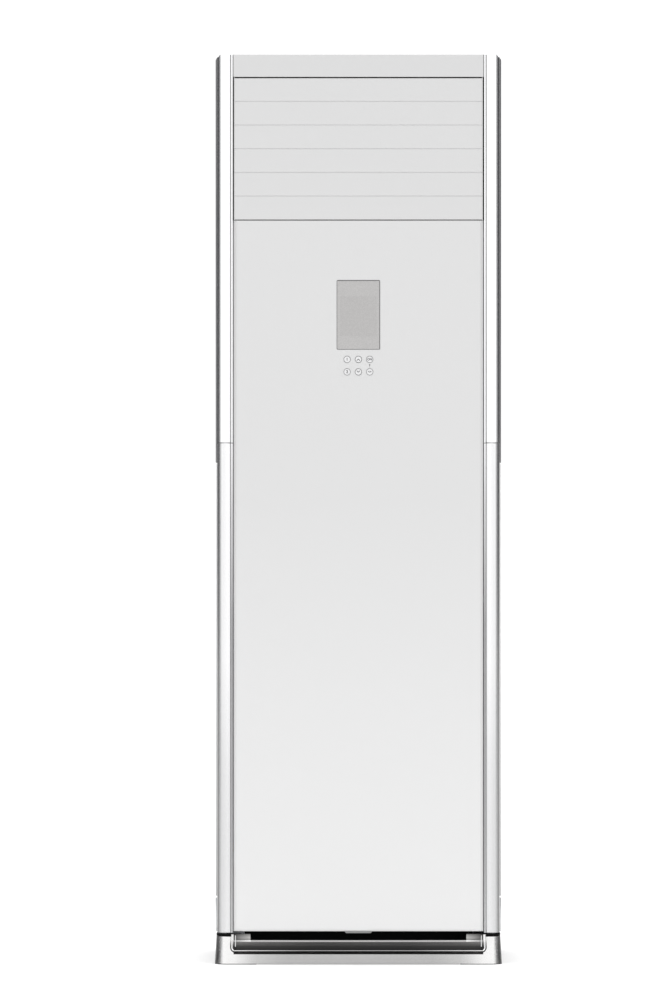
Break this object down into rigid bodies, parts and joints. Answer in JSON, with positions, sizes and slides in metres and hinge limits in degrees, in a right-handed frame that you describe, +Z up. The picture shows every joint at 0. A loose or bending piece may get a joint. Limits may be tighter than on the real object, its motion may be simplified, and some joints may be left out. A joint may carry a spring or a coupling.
{
  "type": "floor standing air conditioner",
  "caption": "Tall floor standing air conditioner: louvered outlet on top, hinged front door with display, side intakes with filters, blower, slanted coil and ducting inside.",
  "frame": {"origin": "middle of the footprint, on the floor", "axes": "+Z up, front of the cabinet faces -Y, +X to the right seen from the front"},
  "size_m": [0.591, 0.4, 1.87],
  "materials": {
    "silver_plastic": "metallic silver paint, satin",
    "white_gloss": "glossy white moulded plastic",
    "white_matte": "fine matte white moulded plastic",
    "grey_plinth": "satin silver grey moulded plastic",
    "bright_trim": "bright satin chrome",
    "side_sheet": "powder coated steel sheet",
    "galvanised": "galvanised sheet",
    "black_rubber": "matte black rubber",
    "smoked_window": "smoked grey glossy window",
    "circuit_board": "solder resist, satin",
    "button_grey": "glossy pale grey keys",
    "black_plastic": "dark moulded plastic",
    "filter_plastic": "dark grey frame with fine net",
    "foam": "expanded foam, matte",
    "fin_aluminium": "thin fins, satin",
    "copper": "drawn copper tube",
    "motor_steel": "plated motor shell",
    "hose_plastic": "ribbed hose plastic",
    "wheel_plastic": "glass filled fan plastic",
    "frame_plastic": "dark grey moulded plastic"
  },
  "bodies": {
    "cabinet": {"base_plinth": "grey_plinth", "foot_pads": "black_rubber", "chassis_plate": "galvanised", "left_column_upper": "silver_plastic", "right_column_upper": "silver_plastic", "left_column_lower": "silver_plastic", "right_column_lower": "silver_plastic", "left_trim_strip": "bright_trim", "right_trim_strip": "bright_trim", "left_side_panel": "side_sheet", "right_side_panel": "side_sheet", "rear_panel": "galvanised", "top_cap": "white_matte", "outlet_frame": "frame_plastic", "louver_motor": "motor_steel", "vane_motor": "motor_steel", "mid_deck": "galvanised", "scroll_wall": "galvanised", "scroll_front_plate": "galvanised", "scroll_rear_plate": "galvanised", "inlet_bellmouth": "black_plastic", "fan_motor": "motor_steel", "motor_bracket": "galvanised", "duct_liner": "foam", "evaporator_fins": "fin_aluminium", "coil_end_plates": "galvanised", "evaporator_tubes": "copper", "refrigerant_pipes": "copper", "drain_pan": "white_matte", "drain_hose": "hose_plastic", "control_box": "galvanised"},
    "front_panel": {"front_panel": "white_gloss", "panel_pull_tab": "silver_plastic", "display_lens": "smoked_window", "display_board": "circuit_board"},
    "left_intake": {"left_intake_grille": "white_matte"},
    "right_intake": {"right_intake_grille": "white_matte"},
    "left_filter": {"left_filter": "filter_plastic"},
    "right_filter": {"right_filter": "filter_plastic"},
    "blower": {"blower_wheel": "wheel_plastic", "blower_dish": "wheel_plastic", "blower_shaft": "motor_steel"},
    "louver_link": {"louver_link": "black_plastic"},
    "vane_link": {"vane_link": "black_plastic"},
    "button_mode": {"button_mode": "button_grey"},
    "button_up": {"button_up": "button_grey"},
    "button_power": {"button_power": "button_grey"},
    "button_fan": {"button_fan": "button_grey"},
    "button_down": {"button_down": "button_grey"},
    "button_swing": {"button_swing": "button_grey"},
    "louver_1": {"louver_1": "white_matte"},
    "louver_2": {"louver_2": "white_matte"},
    "louver_3": {"louver_3": "white_matte"},
    "louver_4": {"louver_4": "white_matte"},
    "louver_5": {"louver_5": "white_matte"},
    "louver_6": {"louver_6": "white_matte"},
    "vane_1": {"vane_1": "frame_plastic"},
    "vane_2": {"vane_2": "frame_plastic"},
    "vane_3": {"vane_3": "frame_plastic"},
    "vane_4": {"vane_4": "frame_plastic"},
    "vane_5": {"vane_5": "frame_plastic"},
    "vane_6": {"vane_6": "frame_plastic"},
    "vane_7": {"vane_7": "frame_plastic"}
  },
  "joints": [
    {"name": "front_panel_hinge", "type": "hinge", "parent": "cabinet", "child": "front_panel", "pos_m": [0, -0.186, 1.525], "axis": [-1, 0, 0], "range_deg": [0, 20]},
    {"name": "right_intake_hinge", "type": "hinge", "parent": "cabinet", "child": "right_intake", "pos_m": [0.2875, 0.035, 0.133], "axis": [0, 1, 0], "range_deg": [0, 25]},
    {"name": "left_intake_hinge", "type": "hinge", "parent": "cabinet", "child": "left_intake", "pos_m": [-0.2875, 0.035, 0.133], "axis": [0, -1, 0], "range_deg": [0, 25]},
    {"name": "right_filter_slide", "type": "slide", "parent": "right_intake", "child": "right_filter", "axis": [0, 0, 1], "range_m": [0, 0.045]},
    {"name": "left_filter_slide", "type": "slide", "parent": "left_intake", "child": "left_filter", "axis": [0, 0, 1], "range_m": [0, 0.045]},
    {"name": "button_mode_press", "type": "slide", "parent": "front_panel", "child": "button_mode", "axis": [0, 1, 0], "range_m": [0, 0.001], "stiffness_N_per_m": 1500},
    {"name": "button_up_press", "type": "slide", "parent": "front_panel", "child": "button_up", "axis": [0, 1, 0], "range_m": [0, 0.001], "stiffness_N_per_m": 1500},
    {"name": "button_power_press", "type": "slide", "parent": "front_panel", "child": "button_power", "axis": [0, 1, 0], "range_m": [0, 0.001], "stiffness_N_per_m": 1500},
    {"name": "button_fan_press", "type": "slide", "parent": "front_panel", "child": "button_fan", "axis": [0, 1, 0], "range_m": [0, 0.001], "stiffness_N_per_m": 1500},
    {"name": "button_down_press", "type": "slide", "parent": "front_panel", "child": "button_down", "axis": [0, 1, 0], "range_m": [0, 0.001], "stiffness_N_per_m": 1500},
    {"name": "button_swing_press", "type": "slide", "parent": "front_panel", "child": "button_swing", "axis": [0, 1, 0], "range_m": [0, 0.001], "stiffness_N_per_m": 1500},
    {"name": "louver_1_tilt", "type": "hinge", "parent": "cabinet", "child": "louver_1", "pos_m": [0, -0.181, 1.79717], "axis": [-1, 0, 0], "range_deg": [0, 80]},
    {"name": "louver_2_tilt", "type": "hinge", "parent": "cabinet", "child": "louver_2", "pos_m": [0, -0.181, 1.74853], "axis": [-1, 0, 0], "range_deg": [0, 80]},
    {"name": "louver_3_tilt", "type": "hinge", "parent": "cabinet", "child": "louver_3", "pos_m": [0, -0.181, 1.69988], "axis": [-1, 0, 0], "range_deg": [0, 80]},
    {"name": "louver_4_tilt", "type": "hinge", "parent": "cabinet", "child": "louver_4", "pos_m": [0, -0.181, 1.65122], "axis": [-1, 0, 0], "range_deg": [0, 80]},
    {"name": "louver_5_tilt", "type": "hinge", "parent": "cabinet", "child": "louver_5", "pos_m": [0, -0.181, 1.60258], "axis": [-1, 0, 0], "range_deg": [0, 80]},
    {"name": "louver_6_tilt", "type": "hinge", "parent": "cabinet", "child": "louver_6", "pos_m": [0, -0.181, 1.55393], "axis": [-1, 0, 0], "range_deg": [0, 80]},
    {"name": "louver_link_pivot", "type": "hinge", "parent": "louver_1", "child": "louver_link", "pos_m": [-0.2623, -0.17028, 1.80617], "axis": [-1, 0, 0], "range_deg": [-80, 0]},
    {"name": "vane_1_swing", "type": "hinge", "parent": "cabinet", "child": "vane_1", "pos_m": [-0.192, -0.126, 1.676], "axis": [0, 0, 1], "range_deg": [-35, 35]},
    {"name": "vane_2_swing", "type": "hinge", "parent": "cabinet", "child": "vane_2", "pos_m": [-0.128, -0.126, 1.676], "axis": [0, 0, 1], "range_deg": [-35, 35]},
    {"name": "vane_3_swing", "type": "hinge", "parent": "cabinet", "child": "vane_3", "pos_m": [-0.064, -0.126, 1.676], "axis": [0, 0, 1], "range_deg": [-35, 35]},
    {"name": "vane_4_swing", "type": "hinge", "parent": "cabinet", "child": "vane_4", "pos_m": [0, -0.126, 1.676], "axis": [0, 0, 1], "range_deg": [-35, 35]},
    {"name": "vane_5_swing", "type": "hinge", "parent": "cabinet", "child": "vane_5", "pos_m": [0.064, -0.126, 1.676], "axis": [0, 0, 1], "range_deg": [-35, 35]},
    {"name": "vane_6_swing", "type": "hinge", "parent": "cabinet", "child": "vane_6", "pos_m": [0.128, -0.126, 1.676], "axis": [0, 0, 1], "range_deg": [-35, 35]},
    {"name": "vane_7_swing", "type": "hinge", "parent": "cabinet", "child": "vane_7", "pos_m": [0.192, -0.126, 1.676], "axis": [0, 0, 1], "range_deg": [-35, 35]},
    {"name": "vane_link_pivot", "type": "hinge", "parent": "vane_1", "child": "vane_link", "pos_m": [-0.192, -0.114, 1.5234], "axis": [0, 0, 1], "range_deg": [-35, 35]},
    {"name": "blower_spin", "type": "hinge", "parent": "cabinet", "child": "blower", "pos_m": [0, 0.09, 0.43], "axis": [0, 1, 0], "continuous": true}
  ],
  "couplings": [
    {"joint": "louver_2_tilt", "follows": "louver_1_tilt", "ratio": 1},
    {"joint": "louver_3_tilt", "follows": "louver_1_tilt", "ratio": 1},
    {"joint": "louver_4_tilt", "follows": "louver_1_tilt", "ratio": 1},
    {"joint": "louver_5_tilt", "follows": "louver_1_tilt", "ratio": 1},
    {"joint": "louver_6_tilt", "follows": "louver_1_tilt", "ratio": 1},
    {"joint": "louver_link_pivot", "follows": "louver_1_tilt", "ratio": -1},
    {"joint": "vane_2_swing", "follows": "vane_1_swing", "ratio": 1},
    {"joint": "vane_3_swing", "follows": "vane_1_swing", "ratio": 1},
    {"joint": "vane_4_swing", "follows": "vane_1_swing", "ratio": 1},
    {"joint": "vane_5_swing", "follows": "vane_1_swing", "ratio": 1},
    {"joint": "vane_6_swing", "follows": "vane_1_swing", "ratio": 1},
    {"joint": "vane_7_swing", "follows": "vane_1_swing", "ratio": 1},
    {"joint": "vane_link_pivot", "follows": "vane_1_swing", "ratio": -1}
  ]
}
